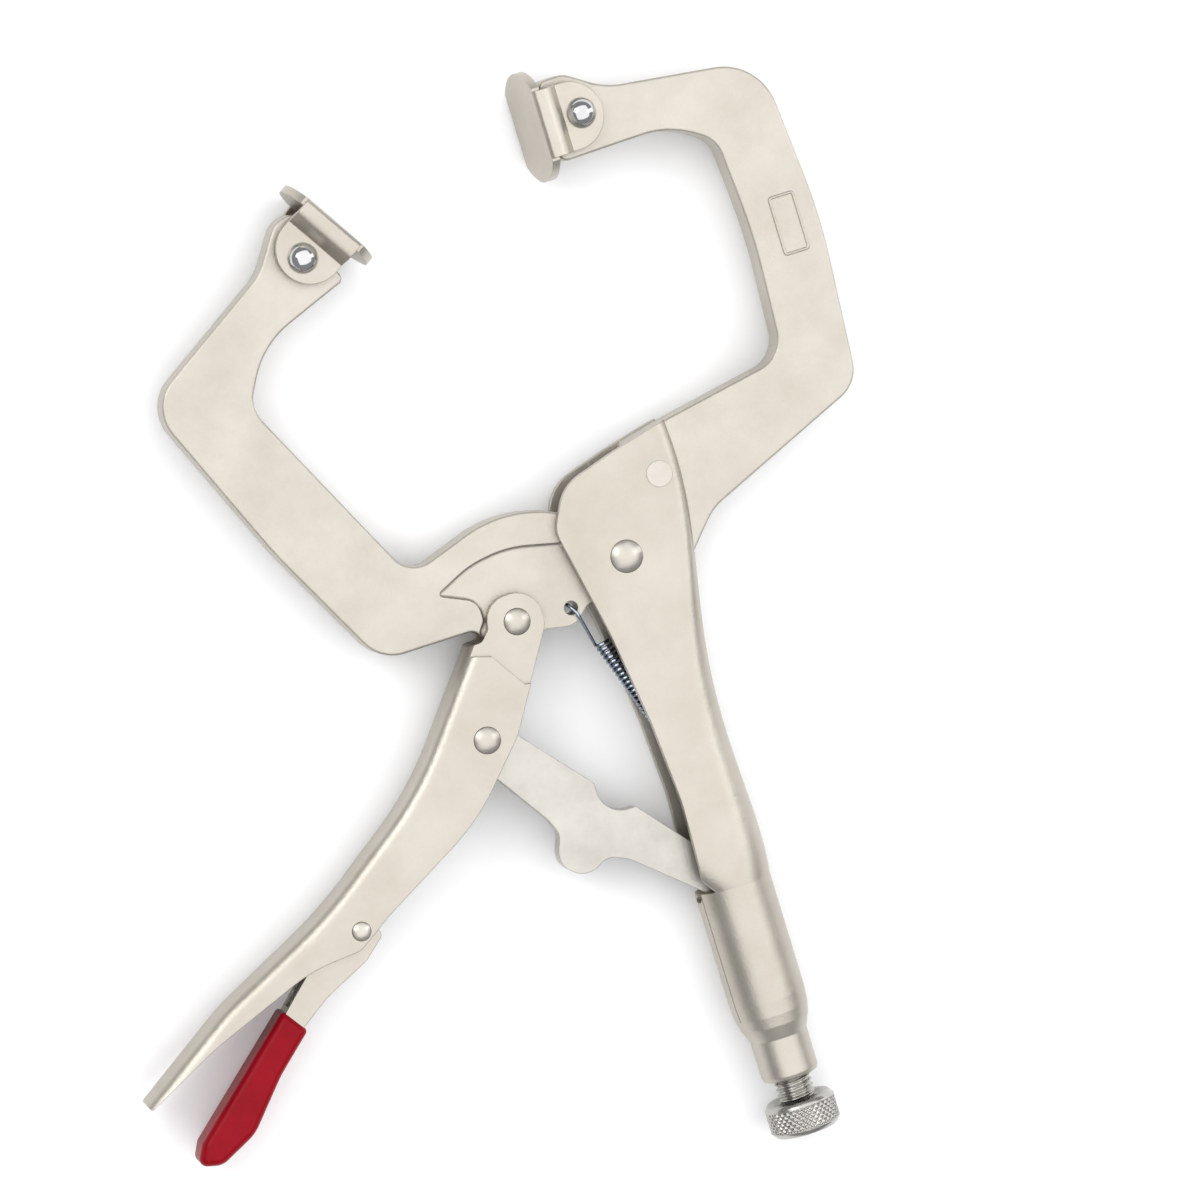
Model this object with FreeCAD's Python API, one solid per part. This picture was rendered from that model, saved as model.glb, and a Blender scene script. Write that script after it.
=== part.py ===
"""Locking C-clamp with swivel pads, 11 inch nominal size.

Frame while modelling: the jaw pivot's axis is Z and passes through the origin. +Y runs along the
adjusting screw towards the jaws, +X towards the spine of the fixed arm. Z = 0 is the middle plane.
Every piece is moved at the end so that the origin is below the middle of the clamp, at its lowest point.
"""
import FreeCAD, Part
import math
import os

V = FreeCAD.Vector

# Sizes in millimetres -------------------------------------------------------------------------------
ARM_HALF = 5.2           # half thickness of both C arms
TANG_HALF = 3.8          # half thickness of the movable arm's thin tang
ARM_EDGE_ROUND = 0.8     # rounding of the forged edges
STEP_ROUND = 1.1         # hollow round where the arm steps down to the tang
HEAD_INNER = 5.5         # half gap between the upper handle's walls
WALL = 2.2               # sheet thickness of both handles
BEND_R = 4.2             # outer bend radius along the lower handle's back
HEAD_HALF = HEAD_INNER + WALL

PIVOT = (0.0, 0.0)
ARM_RIVET = (14.8, 18.0)
LOWER_PIVOT = (-32.7, -7.5)
TOGGLE_PIVOT = (-49.7, -34.6)
LEVER_PIVOT = (-96.2, -71.8)
SPRING_HOLE = (-17.5, -8.8)
SPRING_HOLE_DIA = 3.7

SCREW_X = 2.95           # the screw's axis
TUBE_R = 10.4            # outer radius of the closed part of the upper handle
TUBE_TOP = -92.0
TUBE_END = -124.0
BOSS_R = 7.8
BOSS_TOP = -134.8
BOSS_END = -146.4
SEAM_ANGLE = 20.0        # degrees of the folded seam above the middle plane
SEAM_WIDTH = 0.35
MOUTH_END = -94.4        # where the channel's two edges meet and the seam begins

THREAD_R = 5.1
THREAD_PITCH = 1.5
THREAD_DEPTH = 0.75
THREAD_TOP = -128.0
SCREW_TIP = -99.3
KNOB_R = 9.6
KNOB_TOP = -152.6
KNOB_END = -161.4
KNOB_CHAMFER = 0.9
KNURL_DEPTH = 0.35
KNURL_COUNT = 36

LINK_HALF = 3.0
LINK_HUB_R = 6.4
EAR_INNER = 4.1          # half gap of the lower handle's ears
CHANNEL_HALF = 7.5       # half width of the lower handle
LEVER_HALF = 4.9         # half width of the release lever
LEVER_WALL = 1.6
GRIP_HALF = 6.6

SPRING_R = 2.1
SPRING_TOP = (-11.5, -20.6)
SPRING_ANCHOR = (0.5, -56.0)
WIRE_R = 0.45
HOOK_BEND = (-15.2, -13.6, 4.6)    # the hook wire rises here to pass over the tang
HOOK_END = (-17.5, -8.8, 4.9)      # it ends above the tang's hole
ANCHOR_HALF = 8.0        # the anchor pin ends inside the two walls

PAD_R = 14.7
PAD_THICK = 2.2
PAD_REACH = 12.4         # ball centre to clamping face
EAR_GAP = 6.35           # half gap between a pad's ears
EAR_THICK = 1.8
EAR_HALF_WIDTH = 9.0
BALL_R = 4.2
PIN_R = 2.6              # shank of the pad's ball pin
PIN_HOLE_R = 3.6         # loose hole in the arm, so that the pin can tilt
FIXED_BALL = (21.8, 114.1)
FIXED_PAD_TURN = 180.0   # direction of the clamping face, degrees from +X
FIXED_PAD_TILT = 7.0
MOVING_BALL = (-58.6, 99.7)
MOVING_PAD_TURN = 32.6

RIVET_R = 3.0
RIVET_FIT = 0.05         # radial play on a shaft that turns


# Helpers --------------------------------------------------------------------------------------------
def rounded_wire(points):
    """Closed wire through corners (x, y, r), each corner rounded by a tangent arc of radius r."""
    corners = [V(p[0], p[1], 0) for p in points]
    ends = []
    count = len(points)
    for i in range(count):
        here = corners[i]
        before = (corners[i - 1] - here).normalize()
        after = (corners[(i + 1) % count] - here).normalize()
        half = math.acos(max(-1.0, min(1.0, before.dot(after)))) / 2
        radius = points[i][2]
        reach = radius / math.tan(half) if radius else 0.0
        first = here + before * reach
        last = here + after * reach
        middle = None
        if radius:
            inward = (before + after).normalize()
            middle = here + inward * (radius / math.sin(half) - radius)
        ends.append((first, middle, last))
    edges = []
    for i in range(count):
        first, middle, last = ends[i]
        if middle is not None:
            edges.append(Part.Arc(first, middle, last).toShape())
        start_next = ends[(i + 1) % count][0]
        if (start_next - last).Length > 1e-6:
            edges.append(Part.LineSegment(last, start_next).toShape())
    return Part.Wire(edges)


def plate(points, low, high):
    """Flat plate between two heights with a rounded outline."""
    face = Part.Face(rounded_wire(points))
    face.translate(V(0, 0, low))
    return face.extrude(V(0, 0, high - low))


def disc(centre, radius, low, high):
    return Part.makeCylinder(radius, high - low, V(centre[0], centre[1], low))


def domed_rivet(centre, shank_r, head_r, grip, dome):
    """Rivet with two shallow domed heads of the given height, its heads outside +-grip."""
    sphere_r = (head_r ** 2 + dome ** 2) / (2 * dome)
    half_angle = math.asin(head_r / sphere_r)
    top = grip + dome
    axis_low = V(0, 0, -top)
    axis_high = V(0, 0, top)
    mid_r = sphere_r * math.sin(half_angle / 2)
    mid_z = top - sphere_r * (1 - math.cos(half_angle / 2))
    edges = [
        Part.Arc(axis_low, V(mid_r, 0, -mid_z), V(head_r, 0, -grip)).toShape(),
        Part.LineSegment(V(head_r, 0, -grip), V(shank_r, 0, -grip)).toShape(),
        Part.LineSegment(V(shank_r, 0, -grip), V(shank_r, 0, grip)).toShape(),
        Part.LineSegment(V(shank_r, 0, grip), V(head_r, 0, grip)).toShape(),
        Part.Arc(V(head_r, 0, grip), V(mid_r, 0, mid_z), axis_high).toShape(),
        Part.LineSegment(axis_high, axis_low).toShape(),
    ]
    rivet = Part.Face(Part.Wire(edges)).revolve(V(0, 0, 0), V(0, 0, 1), 360)
    rivet.translate(V(centre[0], centre[1], 0))
    return rivet


def flat_edges(shape, height, keep=None):
    """Edges that lie in the planes z = +-height, and pass the test keep(centre of the edge)."""
    found = []
    for edge in shape.Edges:
        box = edge.BoundBox
        level = abs(abs(box.ZMin) - height) < 1e-4 and box.ZLength < 1e-4
        if level and (keep is None or keep(edge.CenterOfMass)):
            found.append(edge)
    return found


def turned(profile):
    """Solid turned about the screw's axis from corners (radius, y) given from one end to the other."""
    points = [V(SCREW_X, profile[0][1], 0)]
    points += [V(SCREW_X + r, y, 0) for r, y in profile]
    points.append(V(SCREW_X, profile[-1][1], 0))
    points.append(points[0])
    face = Part.Face(Part.makePolygon(points))
    return face.revolve(V(SCREW_X, 0, 0), V(0, 1, 0), 360)


# The two C arms -------------------------------------------------------------------------------------
FIXED_ARM = [
    (14.5, 124.9, 2.0), (21.5, 125.2, 6.0), (31.5, 118.7, 20.0), (73.2, 113.6, 15.0),
    (77.0, 69.0, 150.0), (73.7, 24.4, 9.5), (26.6, 4.6, 14.0), (18.2, -4.6, 1.0),
    (13.4, -4.6, 1.5), (10.5, 7.5, 12.0), (6.6, 17.5, 6.0), (8.6, 28.0, 1.5),
    (20.9, 30.9, 60.0), (56.1, 37.2, 8.5), (57.9, 70.0, 150.0), (55.8, 96.8, 8.0),
    (44.5, 103.9, 24.0), (14.5, 103.1, 2.2),
]

MOVING_ARM = [
    (-57.3, 111.7, 2.0), (-62.8, 110.4, 6.0), (-70.5, 98.9, 14.0), (-108.0, 74.7, 11.0),
    (-88.3, 28.6, 120.0), (-69.9, -6.5, 11.0), (-44.4, -6.5, 3.0), (-39.0, -12.2, 5.0),
    (-27.0, -11.6, 30.0), (-18.0, -13.6, 5.0), (-11.5, -8.0, 3.0), (-9.0, -10.3, 2.0),
    (-3.5, -12.0, 9.5), (9.5, -12.0, 9.5), (12.0, 5.5, 9.5), (2.5, 12.0, 9.0),
    (-6.0, 11.6, 8.0), (-15.5, 17.4, 25.0), (-29.5, 21.2, 33.0), (-55.8, 12.4, 7.5),
    (-82.8, 66.6, 8.5), (-74.6, 81.2, 24.0), (-49.5, 91.0, 1.6),
]

# Outline of the hollow that thins the movable arm to its tang, left and lower side of the step.
TANG_STEP = [
    (-51.2, 5.3, 0.9), (-40.5, 10.3, 25.0), (-29.5, 12.0, 30.0), (-12.0, 7.8, 0.0),
    (-12.0, 30.0, 0.0), (30.0, 30.0, 0.0), (30.0, -30.0, 0.0), (-42.8, -30.0, 0.0),
    (-42.8, -7.0, 0.6), (-41.0, -4.6, 1.5), (-41.0, 0.6, 4.5),
]


def soften(shape, height, radius, keep=None):
    """Round the flat outline edges, one side after the other."""
    edges = flat_edges(shape, height, keep)
    return shape.makeFillet(radius, edges)


def fixed_arm():
    arm = plate(FIXED_ARM, -ARM_HALF, ARM_HALF)
    arm = soften(arm, ARM_HALF, ARM_EDGE_ROUND, lambda c: c.x > 21.5)
    arm = arm.cut(disc(ARM_RIVET, RIVET_R, -ARM_HALF - 1, ARM_HALF + 1))
    arm = arm.cut(disc(FIXED_BALL, PIN_HOLE_R, -ARM_HALF - 1, ARM_HALF + 1))
    return arm


def moving_arm():
    arm = plate(MOVING_ARM, -ARM_HALF, ARM_HALF)
    arm = soften(arm, ARM_HALF, ARM_EDGE_ROUND, lambda c: c.x < -46)
    for side in (1, -1):
        low, high = sorted((side * TANG_HALF, side * (ARM_HALF + 1)))
        hollow = plate(TANG_STEP, low, high)
        hub = disc(PIVOT, 8.6, min(low, high), max(low, high))
        inner = flat_edges(hollow, TANG_HALF, lambda c: c.x < -12.5 and c.y > 0)
        hollow = hollow.makeFillet(STEP_ROUND, inner)
        arm = arm.cut(hollow.cut(hub))
    arm = arm.cut(disc(PIVOT, RIVET_R + RIVET_FIT, -10, 10))
    arm = arm.cut(disc(LOWER_PIVOT, RIVET_R + RIVET_FIT, -10, 10))
    arm = arm.cut(disc(SPRING_HOLE, SPRING_HOLE_DIA / 2, -10, 10))
    arm = arm.cut(disc(MOVING_BALL, PIN_HOLE_R, -10, 10))
    return arm


# The upper handle -----------------------------------------------------------------------------------
# Plan of the handle seen on its flat side: top edge, left edge down to the tube, and open to the spine.
HANDLE_PLAN = [
    (30.0, 33.4, 0.0), (5.0, 27.4, 60.0), (-10.5, 22.8, 12.0), (-16.2, 12.0, 7.0),
    (-10.2, -18.0, 60.0), (-6.8, -44.0, 60.0), (-5.4, -66.0, 60.0), (-6.6, -95.0, 0.0),
    (30.0, -95.0, 0.0),
]

# Sections of the formed channel: (y, spine x, half thickness, corner radius)
CHANNEL_SECTIONS = [
    (40.0, 19.3, HEAD_HALF, 3.2), (18.0, 21.1, HEAD_HALF, 3.2), (2.0, 19.6, HEAD_HALF, 3.6),
    (-12.0, 17.2, HEAD_HALF, 4.6), (-30.0, 14.3, HEAD_HALF + 0.3, 6.0), (-58.0, 13.1, HEAD_HALF + 1.4, 7.8),
    (TUBE_TOP, SCREW_X + TUBE_R, TUBE_R, TUBE_R - 0.1),
]


def channel_section(y, left, right, half, corner):
    """Upright rounded rectangle, in the plane of constant y."""
    outline = [(left, -half, corner), (right, -half, corner), (right, half, corner), (left, half, corner)]
    wire = rounded_wire(outline)
    wire.rotate(V(0, 0, 0), V(1, 0, 0), 90)
    wire.translate(V(0, y, 0))
    return wire


def channel_loft(inset, left_of):
    wires = []
    for y, right, half, corner in CHANNEL_SECTIONS:
        left = left_of(y) + inset
        wires.append(channel_section(y, left, right - inset, half - inset, max(corner - inset, 0.8)))
    loft = Part.makeLoft(wires, True, False)
    return loft if loft.Volume > 0 else loft.reversed()


def outer_left(y):
    """Left side of the closed section, which narrows to the tube's left side at the tube."""
    if y <= TUBE_TOP:
        return SCREW_X - TUBE_R
    return -26.0 + 10.0 * (40.0 - y) / (40.0 - TUBE_TOP)


def open_left(_):
    return -60.0


def tube_outside():
    profile = [
        (TUBE_R, TUBE_TOP), (TUBE_R, TUBE_END), (TUBE_R - 0.3, TUBE_END - 4.0),
        (TUBE_R - 1.0, TUBE_END - 7.0), (TUBE_R - 2.0, TUBE_END - 9.4), (BOSS_R, BOSS_TOP),
        (BOSS_R, BOSS_END + 1.4), (BOSS_R - 0.4, BOSS_END + 0.4), (BOSS_R - 1.4, BOSS_END),
    ]
    return turned(profile)


def tube_inside():
    bore = TUBE_R - WALL
    hole = THREAD_R + RIVET_FIT
    profile = [(bore, -80.0), (bore, TUBE_END - 2.0), (hole, BOSS_TOP + 1.0), (hole, BOSS_END - 1.0)]
    return turned(profile)


def seam():
    """Narrow cut where the two edges of the sheet meet along the tube."""
    cut = Part.makeBox(WALL + 2.0, 40.0, SEAM_WIDTH)
    cut.translate(V(-TUBE_R - 1.0, TUBE_END - 4.0, -SEAM_WIDTH / 2))
    cut.rotate(V(0, 0, 0), V(0, 1, 0), SEAM_ANGLE)
    cut.translate(V(SCREW_X, 0, 0))
    return cut


def mouth(end, half):
    """Cutter that opens the channel's left side down to the given y, with the given half width."""
    cut = Part.makeBox(40.0, 40.0 - end, 2 * half, V(-40.0, end, -half))
    return cut.makeFillet(half / 2, [e for e in cut.Edges if is_mouth_corner(e, end, half)])


def is_mouth_corner(edge, end, half):
    box = edge.BoundBox
    level = abs(abs(box.ZMin) - half) < 0.01 and box.ZLength < 0.01
    return box.XLength > 30 and abs(box.YMin - end) < 0.01 and level


def upper_handle():
    plan = plate(HANDLE_PLAN, -20, 20)
    body = channel_loft(0.0, outer_left).common(plan)
    body = body.cut(channel_loft(WALL, open_left))
    body = body.fuse(tube_outside()).cut(tube_inside())
    body = body.cut(mouth(-84.0, 5.6)).cut(mouth(MOUTH_END, LINK_HALF + 0.4)).cut(seam())
    slit = plate([(8, 45, 0), (8, -4.9, 0), (40, -4.9, 0), (40, 45, 0)], -HEAD_INNER, HEAD_INNER)
    body = body.cut(slit)
    body = body.cut(disc(PIVOT, RIVET_R, -20, 20)).cut(disc(ARM_RIVET, RIVET_R, -20, 20))
    body = body.cut(disc(SPRING_ANCHOR, 1.45, -ANCHOR_HALF, ANCHOR_HALF))
    return body


# The lower handle, link and release lever ------------------------------------------------------------
LOWER_PLAN = [
    (-40.2, 0.0, 7.0), (-25.6, 0.0, 7.0), (-25.6, -10.2, 7.0), (-41.6, -36.0, 25.0),
    (-58.5, -54.0, 60.0), (-88.0, -70.2, 50.0), (-97.8, -76.6, 6.0), (-112.0, -77.6, 40.0),
    (-142.0, -88.9, 90.0), (-162.2, -99.2, 0.8), (-163.0, -97.3, 0.8), (-136.5, -79.9, 60.0),
    (-104.0, -64.2, 120.0), (-72.0, -41.5, 90.0), (-46.8, -9.9, 0.6), (-43.2, -9.9, 2.0),
    (-40.6, -7.2, 1.5),
]

LOWER_VOID = [
    (-22.0, 18.0, 0.0), (-73.7, -43.3, 90.0), (-105.1, -66.2, 120.0), (-137.6, -81.8, 60.0),
    (-158.6, -95.8, 0.0), (-163.0, -120.0, 0.0), (-60.0, -120.0, 0.0), (0.0, -40.0, 0.0),
    (0.0, 18.0, 0.0),
]

# Parts of the plan beyond which the walls step in to the ears.
EAR_ZONE = [
    (-60.0, 10.0, 0.0), (-39.9, -11.0, 0.0), (-33.5, -21.3, 0.0), (10.0, -21.3, 0.0), (10.0, 10.0, 0.0),
]
EAR_LINE = [
    (-60.0, 12.0, 0.0), (-60.0, -8.6, 0.0), (-42.0, -14.1, 0.0), (-35.8, -23.7, 0.0), (0.0, -30.0, 0.0),
    (0.0, 12.0, 0.0),
]

LINK_PLAN = [
    (-56.5, -35.0, 4.5), (-49.5, -27.2, 4.5), (-43.0, -34.0, 3.0), (-25.2, -54.8, 0.8),
    (-25.6, -64.6, 7.0), (-16.4, -64.2, 0.8), (-6.0, -76.5, 6.0), (6.6, -89.8, 4.6),
    (1.2, -98.4, 4.6), (-6.2, -91.0, 6.0), (-22.0, -77.0, 8.0), (-27.5, -74.4, 5.0),
    (-34.0, -78.2, 6.0), (-40.9, -72.6, 5.5), (-37.9, -64.8, 4.0), (-39.8, -60.2, 5.0),
]

LEVER_PLAN = [
    (-93.6, -69.0, 3.0), (-90.6, -74.6, 2.0), (-97.0, -80.0, 5.0), (-110.0, -86.0, 30.0),
    (-124.0, -95.6, 20.0), (-144.0, -114.6, 6.0), (-150.5, -116.3, 1.8), (-151.0, -112.6, 1.8),
    (-124.5, -89.4, 20.0), (-107.0, -73.0, 8.0), (-99.0, -68.6, 3.0),
]

GRIP_PLAN = [
    (-121.8, -85.4, 1.0), (-152.3, -111.9, 4.0), (-155.0, -117.2, 2.0), (-148.8, -118.9, 5.0),
    (-138.2, -113.8, 12.0), (-127.2, -101.4, 30.0), (-117.0, -92.4, 1.2),
]


# The long back of the lower handle, carried past both ends.
LOWER_BACK = [
    (-200.0, -121.6, 0.0), (-136.5, -79.9, 60.0), (-104.0, -64.2, 120.0), (-72.0, -41.5, 90.0),
    (-20.0, 23.7, 0.0), (60.0, 23.7, 0.0), (60.0, -200.0, 0.0), (-200.0, -200.0, 0.0),
]


def is_back(centre):
    """True on the back edges of the lower handle, not on the far sides of the blocks it is cut from."""
    return centre.y > 0.85 * centre.x + 12.0 and centre.x < -30.0


def lower_handle():
    block = plate(LOWER_BACK, -CHANNEL_HALF, CHANNEL_HALF)
    block = block.makeFillet(BEND_R, flat_edges(block, CHANNEL_HALF, is_back))
    body = block.common(plate(LOWER_PLAN, -CHANNEL_HALF, CHANNEL_HALF))
    void = plate(LOWER_VOID, -CHANNEL_HALF + WALL, CHANNEL_HALF - WALL)
    void = void.makeFillet(BEND_R - WALL, flat_edges(void, CHANNEL_HALF - WALL, is_back))
    body = body.cut(void)
    for side in (1, -1):
        low, high = sorted((side * (EAR_INNER + WALL), side * (CHANNEL_HALF + 2)))
        body = body.cut(plate(EAR_LINE, low, high))
        low, high = sorted((side * EAR_INNER, side * (EAR_INNER + WALL)))
        ear = plate(LOWER_PLAN, low, high).common(plate(EAR_ZONE, low, high))
        body = body.fuse(ear)
    body = body.removeSplitter()
    for centre, radius in ((LOWER_PIVOT, RIVET_R), (TOGGLE_PIVOT, RIVET_R), (LEVER_PIVOT, 2.0)):
        body = body.cut(disc(centre, radius, -20, 20))
    return body


def toggle_link():
    link = plate(LINK_PLAN, -LINK_HALF, LINK_HALF)
    link = link.fuse(disc(TOGGLE_PIVOT, LINK_HUB_R, -CHANNEL_HALF + WALL + 0.3, CHANNEL_HALF - WALL - 0.3))
    return link.cut(disc(TOGGLE_PIVOT, RIVET_R + RIVET_FIT, -20, 20))


def release_lever():
    lever = plate(LEVER_PLAN, -LEVER_HALF, LEVER_HALF)
    void = plate(
        [(-80.0, -60.0, 0), (-90.0, -77.2, 0), (-111.0, -82.0, 30), (-120.0, -88.0, 0), (-120.0, -60.0, 0)],
        -LEVER_HALF + LEVER_WALL, LEVER_HALF - LEVER_WALL)
    lever = lever.cut(void)
    return lever.cut(disc(LEVER_PIVOT, 2.0 + RIVET_FIT, -20, 20))


def lever_grip():
    grip = plate(GRIP_PLAN, -GRIP_HALF, GRIP_HALF)
    grip = grip.makeFillet(2.4, flat_edges(grip, GRIP_HALF))
    return grip.cut(plate(LEVER_PLAN, -LEVER_HALF, LEVER_HALF))


# Screw and knob --------------------------------------------------------------------------------------
def adjusting_screw():
    profile = [(THREAD_R - 1.6, SCREW_TIP), (THREAD_R - 0.6, SCREW_TIP - 1.0), (THREAD_R - 0.6, THREAD_TOP)]
    y = THREAD_TOP
    while y - THREAD_PITCH > KNOB_TOP + 0.4:
        profile.append((THREAD_R - THREAD_DEPTH, y))
        profile.append((THREAD_R, y - 0.42 * THREAD_PITCH))
        profile.append((THREAD_R, y - 0.58 * THREAD_PITCH))
        y -= THREAD_PITCH
    profile.append((THREAD_R - THREAD_DEPTH, y))
    profile.append((THREAD_R - THREAD_DEPTH, KNOB_TOP))
    return turned(profile)


def adjusting_knob():
    edge = KNOB_R - KNURL_DEPTH
    profile = [
        (edge - KNOB_CHAMFER, KNOB_TOP), (edge, KNOB_TOP - KNOB_CHAMFER), (KNOB_R, KNOB_TOP - 1.5),
        (KNOB_R, KNOB_END + 1.5), (edge, KNOB_END + KNOB_CHAMFER), (edge - KNOB_CHAMFER, KNOB_END),
    ]
    knob = turned(profile)
    grooves = []
    foot = V(SCREW_X + KNOB_R, KNOB_END, 0)
    for i in range(KNURL_COUNT):
        groove = Part.makeCylinder(KNURL_DEPTH, KNOB_TOP - KNOB_END, foot, V(0, 1, 0))
        groove.rotate(V(SCREW_X, 0, 0), V(0, 1, 0), 360.0 * i / KNURL_COUNT)
        grooves.append(groove)
    return knob.cut(Part.makeCompound(grooves))


# Spring ----------------------------------------------------------------------------------------------
def opening_spring():
    """Coil as one solid tube, with a hook wire that rises over the tang and ends above its hole."""
    top = V(SPRING_TOP[0], SPRING_TOP[1], 0)
    end = V(SPRING_ANCHOR[0], SPRING_ANCHOR[1], 0)
    run = (end - top).normalize()
    coil_end = end - run * 4.5
    coil = Part.makeCylinder(SPRING_R, (coil_end - top).Length, top, run)
    tail = Part.makeCylinder(WIRE_R, (end - coil_end).Length - 1.8, coil_end, run)
    bend = V(*HOOK_BEND)
    hook = wire_leg(top + run, bend).fuse(Part.makeSphere(WIRE_R, bend)).fuse(wire_leg(bend, V(*HOOK_END)))
    return coil.fuse(tail).fuse(hook)


def wire_leg(start, end):
    return Part.makeCylinder(WIRE_R, (end - start).Length, start, end - start)


# Pads ------------------------------------------------------------------------------------------------
PAD_SECTION = [
    (0.0, 10.2, 0.0), (0.0, 12.2, 1.6), (4.6, 12.2, 3.4), (7.4, 8.15, 0.3),
    (20.0, 8.15, 0.0), (20.0, 6.35, 0.0), (5.9, 6.35, 1.6), (4.4, 9.4, 1.4), (2.2, 10.2, 0.5),
]


def pad_blank():
    """Pad with its face on the plane x = 0, ears towards +X, ball axis along Z at x = PAD_REACH."""
    face = Part.makeCylinder(PAD_R, PAD_THICK, V(0, 0, 0), V(1, 0, 0))
    box = Part.makeBox(PAD_THICK, 4 * PAD_R, 2 * 11.0, V(0, -2 * PAD_R, -11.0))
    face = face.common(box)
    ears = []
    for side in (1, -1):
        outline = [(x, side * z, r) for x, z, r in PAD_SECTION]
        section = Part.Face(rounded_wire(outline))
        section.rotate(V(0, 0, 0), V(1, 0, 0), 90)
        section.translate(V(0, EAR_HALF_WIDTH, 0))
        strip = section.extrude(V(0, -2 * EAR_HALF_WIDTH, 0))
        strip = strip.common(ear_plan())
        ears.append(strip)
    pad = face.fuse(ears).removeSplitter()
    return pad.cut(Part.makeCylinder(PIN_R + RIVET_FIT, 60, V(PAD_REACH, 0, -30)))


def ear_plan():
    """Plan of an ear: straight sides from the fold, round at the end."""
    reach = PAD_REACH + 6.0
    w = EAR_HALF_WIDTH
    return plate([(-1, -w, 0), (reach, -w, w - 0.01), (reach, w, w - 0.01), (-1, w, 0)], -20, 20)


def place_pad(shape, ball, turn, tilt):
    """Set a pad blank on its ball: turn is the direction that the clamping face looks."""
    shape = shape.copy()
    shape.translate(V(-PAD_REACH, 0, 0))
    shape.rotate(V(0, 0, 0), V(0, 1, 0), tilt)
    shape.rotate(V(0, 0, 0), V(0, 0, 1), turn + 180.0)
    shape.translate(V(ball[0], ball[1], 0))
    return shape


def ball_pin():
    """Pin through the arm with a ball cap on each end."""
    reach = EAR_GAP + EAR_THICK
    pin = Part.makeCylinder(PIN_R, 2 * reach + 0.4, V(PAD_REACH, 0, -reach - 0.2))
    for side in (1, -1):
        cap = Part.makeSphere(BALL_R, V(PAD_REACH, 0, side * (reach - 1.0)))
        clear = reach + 0.05
        keep = Part.makeBox(20, 20, 10, V(PAD_REACH - 10, -10, clear if side > 0 else -clear - 10))
        pin = pin.fuse(cap.common(keep))
    return pin


# Assembly --------------------------------------------------------------------------------------------
def anchor_pin():
    return disc(SPRING_ANCHOR, 1.45, -ANCHOR_HALF, ANCHOR_HALF)


def flush_rivet():
    return disc(ARM_RIVET, RIVET_R - 0.02, -HEAD_HALF - 0.1, HEAD_HALF + 0.1).fuse(
        disc(ARM_RIVET, 3.5, HEAD_HALF, HEAD_HALF + 0.15)).fuse(
        disc(ARM_RIVET, 3.5, -HEAD_HALF - 0.15, -HEAD_HALF))


def build():
    pad = pad_blank()
    ball = ball_pin()
    return {
        "upper_handle": upper_handle(),
        "fixed_jaw": fixed_arm(),
        "fixed_jaw_rivet": flush_rivet(),
        "jaw_pivot_rivet": domed_rivet(PIVOT, RIVET_R, 4.4, HEAD_HALF, 1.5),
        "movable_jaw": moving_arm(),
        "lower_handle": lower_handle(),
        "lower_handle_rivet": domed_rivet(LOWER_PIVOT, RIVET_R, 3.6, EAR_INNER + WALL, 1.2),
        "toggle_link": toggle_link(),
        "toggle_rivet": domed_rivet(TOGGLE_PIVOT, RIVET_R, 3.65, CHANNEL_HALF, 1.2),
        "release_lever": release_lever(),
        "release_lever_rivet": domed_rivet(LEVER_PIVOT, 2.0, 2.6, CHANNEL_HALF, 0.9),
        "release_lever_grip": lever_grip(),
        "adjusting_screw": adjusting_screw(),
        "adjusting_knob": adjusting_knob(),
        "opening_spring": opening_spring(),
        "spring_anchor": anchor_pin(),
        "fixed_pad": place_pad(pad, FIXED_BALL, FIXED_PAD_TURN, FIXED_PAD_TILT),
        "fixed_pad_ball": place_pad(ball, FIXED_BALL, FIXED_PAD_TURN, FIXED_PAD_TILT),
        "movable_pad": place_pad(pad, MOVING_BALL, MOVING_PAD_TURN, 0.0),
        "movable_pad_ball": place_pad(ball, MOVING_BALL, MOVING_PAD_TURN, 0.0),
    }


def main():
    os.makedirs("parts", exist_ok=True)
    shapes = build()
    box = FreeCAD.BoundBox()
    for shape in shapes.values():
        box.add(shape.optimalBoundingBox(False, False))
    shift = V(-box.Center.x, -box.Center.y, -box.ZMin)
    print("shift", [round(v, 4) for v in shift], "size", box.XLength, box.YLength, box.ZLength)
    for name, shape in shapes.items():
        shape.translate(shift)
        solids = shape.Solids
        print(name, "valid", shape.isValid(), "solids", len(solids), "volume", round(shape.Volume, 1))
        whole = solids[0] if len(solids) == 1 else shape
        whole.exportStep("parts/" + name + ".step")


main()
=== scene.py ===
import bpy
import math
from mathutils import Matrix, Vector


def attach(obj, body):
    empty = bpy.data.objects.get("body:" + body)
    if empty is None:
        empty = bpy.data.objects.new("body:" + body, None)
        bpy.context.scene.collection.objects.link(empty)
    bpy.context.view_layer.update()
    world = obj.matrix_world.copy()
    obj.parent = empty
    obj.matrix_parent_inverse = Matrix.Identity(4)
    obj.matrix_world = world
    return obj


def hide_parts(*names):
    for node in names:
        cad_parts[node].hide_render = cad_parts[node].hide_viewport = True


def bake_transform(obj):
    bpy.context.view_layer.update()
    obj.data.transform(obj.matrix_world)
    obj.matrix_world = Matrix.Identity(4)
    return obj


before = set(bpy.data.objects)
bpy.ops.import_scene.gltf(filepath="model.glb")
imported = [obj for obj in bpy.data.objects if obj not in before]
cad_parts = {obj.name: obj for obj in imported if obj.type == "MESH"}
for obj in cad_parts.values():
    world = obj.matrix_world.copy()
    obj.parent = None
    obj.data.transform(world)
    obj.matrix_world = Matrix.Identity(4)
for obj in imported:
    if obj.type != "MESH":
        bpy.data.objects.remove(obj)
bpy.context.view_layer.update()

MM = 0.001
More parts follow.
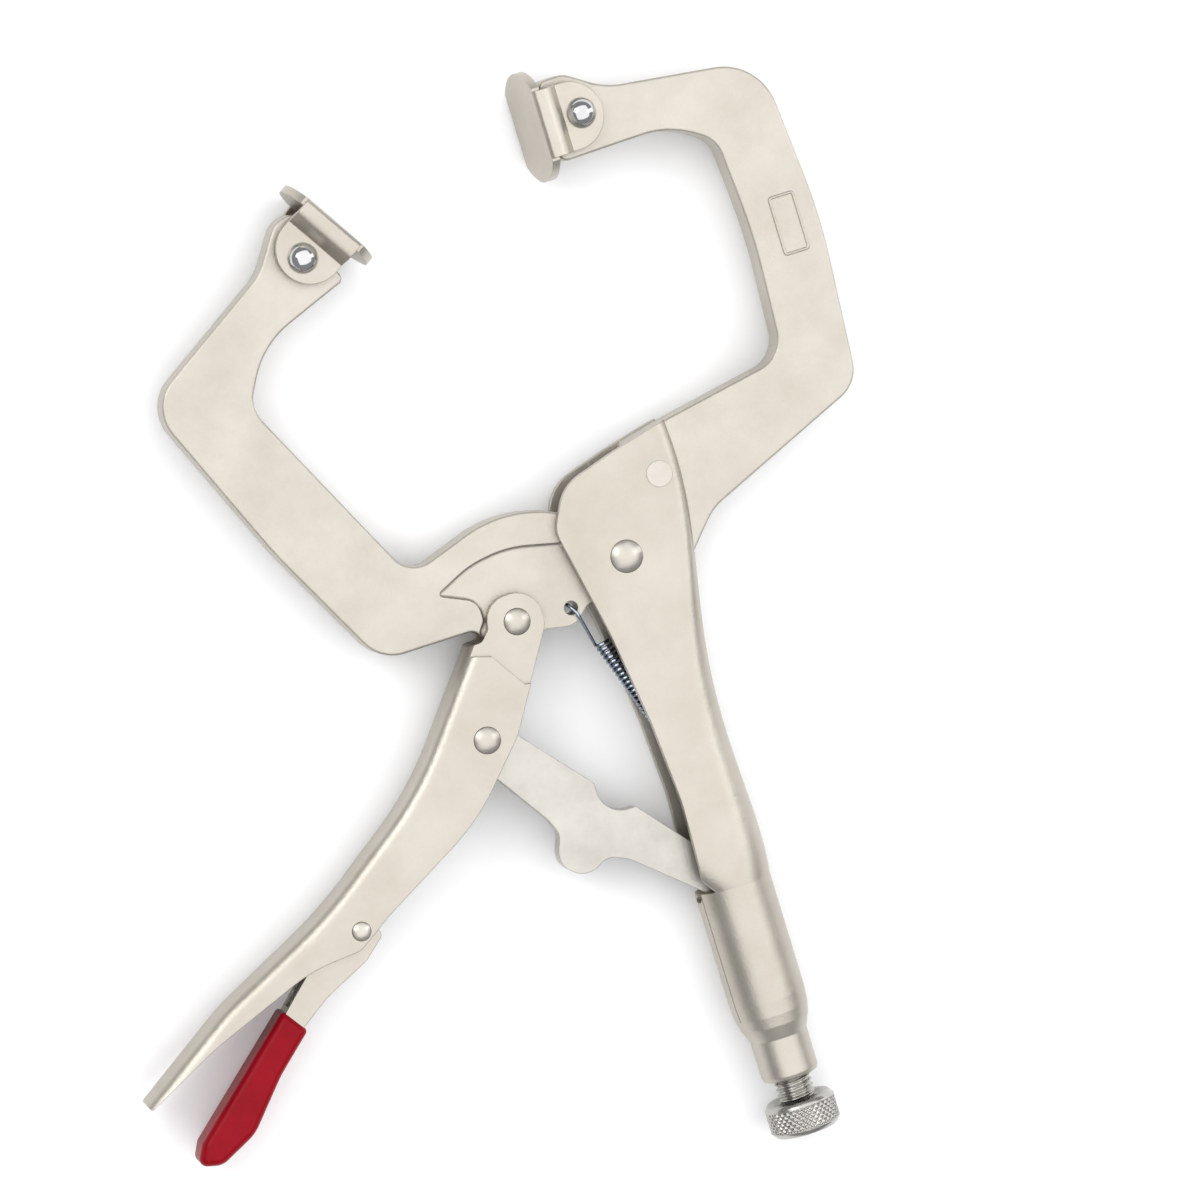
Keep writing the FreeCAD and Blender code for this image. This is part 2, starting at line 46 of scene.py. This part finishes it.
# Where the jaw pivot's axis meets the middle plane, in the frame, in millimetres.
ORIGIN = (43.1382, 16.3, 12.2)
SCREW_X = 2.95


def at(x, y, z=0.0):
    """A point given from the jaw pivot in millimetres, in the frame in metres."""
    return Vector(((x + ORIGIN[0]) * MM, (y + ORIGIN[1]) * MM, (z + ORIGIN[2]) * MM))


# Materials -------------------------------------------------------------------------------------------
def new_material(name):
    mat = bpy.data.materials.new(name)
    mat.use_nodes = True
    tree = mat.node_tree
    shader = tree.nodes["Principled BSDF"]
    return mat, tree, shader


def add(tree, kind, **values):
    node = tree.nodes.new(kind)
    for key, value in values.items():
        socket = node.inputs.get(key)
        if socket is not None:
            socket.default_value = value
        else:
            setattr(node, key, value)
    return node


def noise(tree, coords, scale, detail=3.0, rough=0.5):
    node = add(tree, "ShaderNodeTexNoise", Scale=scale, Detail=detail, Roughness=rough)
    tree.links.new(coords.outputs["Object"], node.inputs["Vector"])
    return node.outputs["Fac"]


def ramp(tree, value, stops):
    node = tree.nodes.new("ShaderNodeValToRGB")
    tree.links.new(value, node.inputs["Fac"])
    elements = node.color_ramp.elements
    while len(elements) < len(stops):
        elements.new(0.5)
    for element, (place, colour) in zip(elements, stops):
        element.position = place
        element.color = (*colour, 1.0)
    return node.outputs["Color"]


def map_value(tree, value, low, high):
    node = add(tree, "ShaderNodeMapRange")
    node.inputs["To Min"].default_value = low
    node.inputs["To Max"].default_value = high
    tree.links.new(value, node.inputs["Value"])
    return node.outputs["Result"]


def rounded_normal(tree, radius):
    """Softens hard edges in the shading, as the thick plating does."""
    node = tree.nodes.new("ShaderNodeBevel")
    node.samples = 6
    node.inputs["Radius"].default_value = radius
    return node.outputs["Normal"]


def bump(tree, height, distance, strength, normal=None):
    node = add(tree, "ShaderNodeBump", Distance=distance, Strength=strength)
    tree.links.new(height, node.inputs["Height"])
    if normal is not None:
        tree.links.new(normal, node.inputs["Normal"])
    return node.outputs["Normal"]


def metal(name, dark, light, rough, grain, edge=0.0004, cloud=60.0, depth=0.00009, strength=0.35):
    """Plated steel: cloudy tone, fine blasted grain and softened edges."""
    mat, tree, shader = new_material(name)
    coords = tree.nodes.new("ShaderNodeTexCoord")
    tone = noise(tree, coords, cloud, 5.0, 0.6)
    tree.links.new(ramp(tree, tone, [(0.32, dark), (0.68, light)]), shader.inputs["Base Color"])
    speck = noise(tree, coords, grain, 2.0, 0.6)
    tree.links.new(map_value(tree, speck, rough[0], rough[1]), shader.inputs["Roughness"])
    fine = bump(tree, speck, depth, strength, rounded_normal(tree, edge))
    broad = noise(tree, coords, grain * 0.12, 2.0, 0.5)
    tree.links.new(bump(tree, broad, depth * 2.0, strength * 0.5, fine), shader.inputs["Normal"])
    shader.inputs["Metallic"].default_value = 1.0
    return mat


def vinyl():
    """Glossy dipped vinyl with slight waves and a clear skin."""
    mat, tree, shader = new_material("red_vinyl_skin")
    coords = tree.nodes.new("ShaderNodeTexCoord")
    tone = noise(tree, coords, 90.0, 4.0, 0.6)
    colours = [(0.3, (0.21, 0.001, 0.006)), (0.7, (0.28, 0.002, 0.010))]
    tree.links.new(ramp(tree, tone, colours), shader.inputs["Base Color"])
    ripple = noise(tree, coords, 260.0, 3.0, 0.5)
    tree.links.new(map_value(tree, ripple, 0.30, 0.42), shader.inputs["Roughness"])
    tree.links.new(bump(tree, ripple, 0.0002, 0.25, rounded_normal(tree, 0.0005)), shader.inputs["Normal"])
    shader.inputs["Specular IOR Level"].default_value = 0.08
    shader.inputs["Coat Weight"].default_value = 0.05
    shader.inputs["Coat Roughness"].default_value = 0.12
    return mat


SATIN = metal(
    "satin_nickel_blasted", (0.46, 0.425, 0.37), (0.52, 0.485, 0.43), (0.36, 0.54), 2100.0, strength=0.6)
FORMED = metal(
    "satin_nickel_formed", (0.44, 0.405, 0.35), (0.50, 0.465, 0.41), (0.32, 0.48), 1500.0,
    cloud=45.0, strength=0.6)
LINK = metal(
    "link_steel", (0.43, 0.41, 0.37), (0.52, 0.50, 0.46), (0.32, 0.46), 1300.0, cloud=80.0, strength=0.5)
RIVET = metal(
    "rivet_steel_skin", (0.44, 0.41, 0.36), (0.54, 0.51, 0.46), (0.30, 0.42), 900.0, 0.0003, strength=0.4)
CHROME = metal(
    "ball_chrome", (0.50, 0.50, 0.50), (0.58, 0.58, 0.58), (0.06, 0.12), 700.0, 0.0002, strength=0.06)
BRIGHT = metal(
    "bright_nickel_skin", (0.38, 0.365, 0.34), (0.50, 0.485, 0.455), (0.16, 0.28), 1100.0, 0.00012,
    strength=0.2)
WIRE = metal(
    "zinc_wire_skin", (0.30, 0.35, 0.43), (0.44, 0.50, 0.58), (0.16, 0.26), 1200.0, 0.00005, strength=0.15)
VINYL = vinyl()

FINISH = {
    "fixed_jaw": SATIN, "movable_jaw": SATIN, "upper_handle": FORMED, "lower_handle": FORMED,
    "toggle_link": LINK, "release_lever": FORMED, "release_lever_grip": VINYL,
    "fixed_pad": FORMED, "movable_pad": FORMED, "fixed_pad_ball": CHROME, "movable_pad_ball": CHROME,
    "fixed_jaw_rivet": RIVET, "jaw_pivot_rivet": RIVET, "lower_handle_rivet": RIVET,
    "toggle_rivet": RIVET, "release_lever_rivet": RIVET, "spring_anchor": RIVET,
    "adjusting_screw": BRIGHT, "adjusting_knob": BRIGHT, "opening_spring": WIRE,
}
for name, mat in FINISH.items():
    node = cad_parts[name]
    for material_slot in node.material_slots:
        material_slot.material = mat


# Mesh pieces ------------------------------------------------------------------------------------------
def mesh_piece(name, points, faces, mat, smooth=True):
    mesh = bpy.data.meshes.new(name)
    mesh.from_pydata([tuple(p) for p in points], [], faces)
    mesh.update()
    if smooth:
        mesh.polygons.foreach_set("use_smooth", [True] * len(mesh.polygons))
    piece = bpy.data.objects.new(name, mesh)
    bpy.context.scene.collection.objects.link(piece)
    mesh.materials.append(mat)
    return piece


def skin_of_turn(rows, around, radius_at):
    """Points and faces of a closed surface round the screw's axis: rows are heights y."""
    points = []
    for y in rows:
        for k in range(around):
            turn = 2 * math.pi * k / around
            r = radius_at(turn, y)
            points.append(at(SCREW_X + r * math.cos(turn), y, r * math.sin(turn)))
    faces = []
    for j in range(len(rows) - 1):
        for k in range(around):
            a = j * around + k
            b = j * around + (k + 1) % around
            faces.append((a, a + around, b + around, b))
    return points, faces


def wave(value):
    """Triangle wave from 0 to 1 with period 1."""
    return 1.0 - abs(2.0 * (value - math.floor(value)) - 1.0)


KNOB_R = 9.6
KNOB_TOP = -152.6
KNOB_END = -161.4
KNURL_EDGE = 1.35     # plain rim at each end of the knurl
KNURL_COUNT = 34
KNURL_PITCH = 1.75
KNURL_DEPTH = 0.42
KNOB_ROWS = 96        # steps along the knob, fine enough for the knurl
KNOB_AROUND = 544     # steps round it: sixteen to each knurl ridge
# Rings of each end face from the rim inwards: (radius, how far it is sunk).
KNOB_FACE = [(KNOB_R - 1.6, 0.0), (6.6, 0.0), (6.2, 0.35), (0.0, 0.35)]


def knob_radius(turn, y):
    """Radius of the knob's skin: rounded rims, and two crossing sets of ridges between them."""
    depth_in = min(KNOB_TOP - y, y - KNOB_END)
    if depth_in < KNURL_EDGE:
        return KNOB_R - 0.32 - 0.75 * (1.0 - depth_in / KNURL_EDGE) ** 1.6
    share = turn * KNURL_COUNT / (2 * math.pi)
    lean = y / KNURL_PITCH
    peak = min(wave(share + lean), wave(share - lean))
    fade = min(1.0, (depth_in - KNURL_EDGE) / 0.3)
    return KNOB_R - 0.05 - KNURL_DEPTH * fade * (1.0 - min(1.0, 1.5 * peak))


def knurled_knob():
    """Knob with a diamond knurl between two plain rims, and a slightly sunk middle on each end."""
    rows = [KNOB_TOP - (KNOB_TOP - KNOB_END) * j / KNOB_ROWS for j in range(KNOB_ROWS + 1)]
    around = KNOB_AROUND
    points, faces = skin_of_turn(rows, around, knob_radius)
    for y, row in ((KNOB_TOP, 0), (KNOB_END, KNOB_ROWS)):
        last = row * around
        inward = -1.0 if y == KNOB_TOP else 1.0
        for r, sink in KNOB_FACE:
            base = len(points)
            for k in range(around):
                turn = 2 * math.pi * k / around
                points.append(at(SCREW_X + r * math.cos(turn), y + inward * sink, r * math.sin(turn)))
            for k in range(around):
                n = (k + 1) % around
                quad = (last + k, last + n, base + n, base + k)
                faces.append(quad if y == KNOB_TOP else quad[::-1])
            last = base
    return mesh_piece("knurled_knob", points, faces, BRIGHT)


THREAD_R = 5.05
THREAD_PITCH = 1.5
THREAD_DEPTH = 0.8
SHANK_R = 4.5
THREAD_START = -127.0
THREAD_STEP = 0.125   # twelve steps to each turn of the thread
SCREW_SHOULDER = -99.3
SCREW_TIP = -98.9


def thread_radius(turn, y):
    """Plain shank inside the tube, then one helical thread with narrow flats."""
    if y > THREAD_START:
        return SHANK_R
    profile = wave(y / THREAD_PITCH + turn / (2 * math.pi))
    return THREAD_R - THREAD_DEPTH * max(0.0, min(1.0, 1.35 * profile - 0.15))


def threaded_screw():
    plain = [SCREW_SHOULDER - j for j in range(28)]
    cut_start = THREAD_START - 0.05
    cut = [cut_start - THREAD_STEP * j for j in range(int((cut_start - KNOB_TOP) / THREAD_STEP))]
    rows = plain + cut + [KNOB_TOP]
    around = 96
    points, faces = skin_of_turn(rows, around, thread_radius)
    tip = len(points)
    points.append(at(SCREW_X, SCREW_TIP, 0))
    faces += [(k, (k + 1) % around, tip) for k in range(around)]
    return mesh_piece("threaded_screw", points, faces, BRIGHT)


def tube_along(name, path, radius, mat, sides=10):
    """Round wire along a list of points, with its frame carried along so that it doesn't twist."""
    points = []
    normal = Vector((0.6, 0.8, 0.0))     # any direction across the first stretch of wire
    for i, here in enumerate(path):
        ahead = (path[min(i + 1, len(path) - 1)] - path[max(i - 1, 0)]).normalized()
        normal = (normal - ahead * normal.dot(ahead)).normalized()
        side = ahead.cross(normal)
        for k in range(sides):
            turn = 2 * math.pi * k / sides
            points.append(here + (normal * math.cos(turn) + side * math.sin(turn)) * radius)
    faces = []
    for j in range(len(path) - 1):
        for k in range(sides):
            a = j * sides + k
            b = j * sides + (k + 1) % sides
            faces.append((a, b, b + sides, a + sides))
    faces.append(tuple(range(sides))[::-1])
    end = (len(path) - 1) * sides
    faces.append(tuple(end + k for k in range(sides)))
    return mesh_piece(name, points, faces, mat)


SPRING_HOLE = at(-17.5, -8.8, 0.0)
SPRING_TOP = at(-11.9, -20.2, 0.3)
SPRING_ANCHOR = at(0.5, -56.0, 0.0)
COIL_R = 1.75 * MM
WIRE_R = 0.46 * MM
COIL_TURNS = 25
STEPS_PER_TURN = 20
LOOP_R = 2.0 * MM     # loop round the anchor pin


def arc_points(centre, start, axis, degrees, steps):
    """Points of an arc about an axis, starting at start."""
    out = []
    for i in range(1, steps + 1):
        spin = Matrix.Rotation(math.radians(degrees) * i / steps, 3, axis)
        out.append(centre + spin @ (start - centre))
    return out


def spring_path():
    """The whole wire: hook through the tang's hole, straight leg, coil, and loop round the pin."""
    run = (SPRING_ANCHOR - SPRING_TOP).normalized()
    up = Vector((0, 0, 1))
    side = run.cross(up).normalized()
    leg_start = SPRING_HOLE + Vector((-0.3, 0.4, 4.4)) * MM
    over = SPRING_HOLE + Vector((0.9, -1.6, 4.9)) * MM
    path = [
        SPRING_HOLE + Vector((-0.6, 1.0, -3.4)) * MM, SPRING_HOLE + Vector((-0.6, 1.0, 0.0)) * MM,
        SPRING_HOLE + Vector((-0.5, 0.9, 3.2)) * MM, leg_start, over,
    ]
    coil_start = SPRING_TOP + side * COIL_R
    for i in range(1, 9):
        path.append(over.lerp(coil_start + up * 0.5 * MM - run * 0.8 * MM, i / 9))
    length = (SPRING_ANCHOR - SPRING_TOP).length - 3.6 * MM
    steps = COIL_TURNS * STEPS_PER_TURN
    for i in range(steps + 1):
        turn = 2 * math.pi * i / STEPS_PER_TURN
        ring = side * math.cos(turn) + up * math.sin(turn)
        path.append(SPRING_TOP + run * (length * i / steps) + ring * COIL_R)
    neck = SPRING_ANCHOR - run * LOOP_R
    path.append(neck)
    path += arc_points(SPRING_ANCHOR, neck, up, 290.0, 18)
    return path


def opening_spring():
    piece = tube_along("coil_spring", spring_path(), WIRE_R, WIRE)
    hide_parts("opening_spring")
    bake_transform(piece)
    return piece


def blank_panel():
    """Raised rounded frame on the fixed arm's side, left blank."""
    corner = 0.7
    half_w, half_h = 3.3, 7.7
    centre = (68.1, 70.2)
    base = 5.19
    sections = [(0.42, 0.0), (0.24, 0.34), (-0.24, 0.34), (-0.42, 0.0)]
    outline = []
    for cx, cy, start in ((1, 1, 0), (-1, 1, 90), (-1, -1, 180), (1, -1, 270)):
        for step in range(7):
            turn = math.radians(start + 15 * step)
            outline.append((cx * (half_w - corner), cy * (half_h - corner), math.cos(turn), math.sin(turn)))
    points = []
    for x, y, nx, ny in outline:
        for out, rise in sections:
            reach = corner + out
            points.append(at(centre[0] + x + nx * reach, centre[1] + y + ny * reach, base + rise))
    faces = []
    count = len(outline)
    for i in range(count):
        for k in range(3):
            a = i * 4 + k
            b = ((i + 1) % count) * 4 + k
            faces.append((a, b, b + 1, a + 1))
    piece = mesh_piece("blank_panel_frame", points, faces, SATIN)
    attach(piece, "upper")
    return piece


opening_spring()
blank_panel()

knob = knurled_knob()
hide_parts("adjusting_knob")
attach(knob, "knob")

screw = threaded_screw()
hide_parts("adjusting_screw")
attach(screw, "screw")


# Floor, light and camera -------------------------------------------------------------------------------
def studio_floor():
    mesh = bpy.data.meshes.new("studio_floor")
    half = 6.0
    level = -0.0004     # just under the tool, so that the two never share a plane
    corners = [(-half, -half, level), (half, -half, level), (half, half, level), (-half, half, level)]
    mesh.from_pydata(corners, [], [(0, 1, 2, 3)])
    floor = bpy.data.objects.new("studio_floor", mesh)
    bpy.context.scene.collection.objects.link(floor)
    mat, tree, shader = new_material("floor_paper")
    coords = tree.nodes.new("ShaderNodeTexCoord")
    tone = noise(tree, coords, 30.0, 2.0, 0.5)
    paper = [(0.3, (0.93, 0.93, 0.93)), (0.7, (0.95, 0.95, 0.95))]
    tree.links.new(ramp(tree, tone, paper), shader.inputs["Base Color"])
    shader.inputs["Roughness"].default_value = 0.9
    shader.inputs["Specular IOR Level"].default_value = 0.1
    mesh.materials.append(mat)


def area_light(name, place, target, width, height, power, colour=(1, 1, 1)):
    data = bpy.data.lights.new(name, "AREA")
    data.shape = "RECTANGLE"
    data.size = width
    data.size_y = height
    data.energy = power
    data.color = colour
    lamp = bpy.data.objects.new(name, data)
    lamp.location = place
    lamp.rotation_euler = (Vector(target) - Vector(place)).to_track_quat("-Z", "Y").to_euler()
    bpy.context.scene.collection.objects.link(lamp)


def studio_light():
    area_light("overhead_soft", (0.45, 0.3, 1.9), (0.45, 0.3, 0), 4.5, 4.5, 86.0)
    area_light("key_upper_left", (-0.9, 0.9, 1.2), (0, 0, 0), 0.8, 0.8, 6.0)
    area_light("rim_right", (1.3, 0.1, 0.55), (0, 0, 0), 0.5, 1.4, 4.0)
    world = bpy.data.worlds.new("studio_world")
    world.use_nodes = True
    world.node_tree.nodes["Background"].inputs["Color"].default_value = (0.95, 0.97, 1.0, 1.0)
    world.node_tree.nodes["Background"].inputs["Strength"].default_value = 0.40
    bpy.context.scene.world = world


def photo_camera():
    """Looks down on the clamp's flat side, slightly from its front and left."""
    data = bpy.data.cameras.new("camera")
    data.sensor_width = 36.0
    data.lens = 171.0
    data.clip_start = 0.05
    camera = bpy.data.objects.new("camera", data)
    aim = at(-8.8, -9.6, 0.0)
    back = Vector((-0.1856, 0.1102, 1.0)).normalized()
    right = Vector((0.2974, 0.9548, 0.0)).cross(back).normalized()
    up = back.cross(right)
    turn = Matrix((right, up, back)).transposed()
    camera.matrix_world = Matrix.Translation(aim + back * 1.5) @ turn.to_4x4()
    bpy.context.scene.collection.objects.link(camera)
    bpy.context.scene.camera = camera


studio_floor()
studio_light()
photo_camera()
bpy.context.scene.view_settings.view_transform = "Standard"
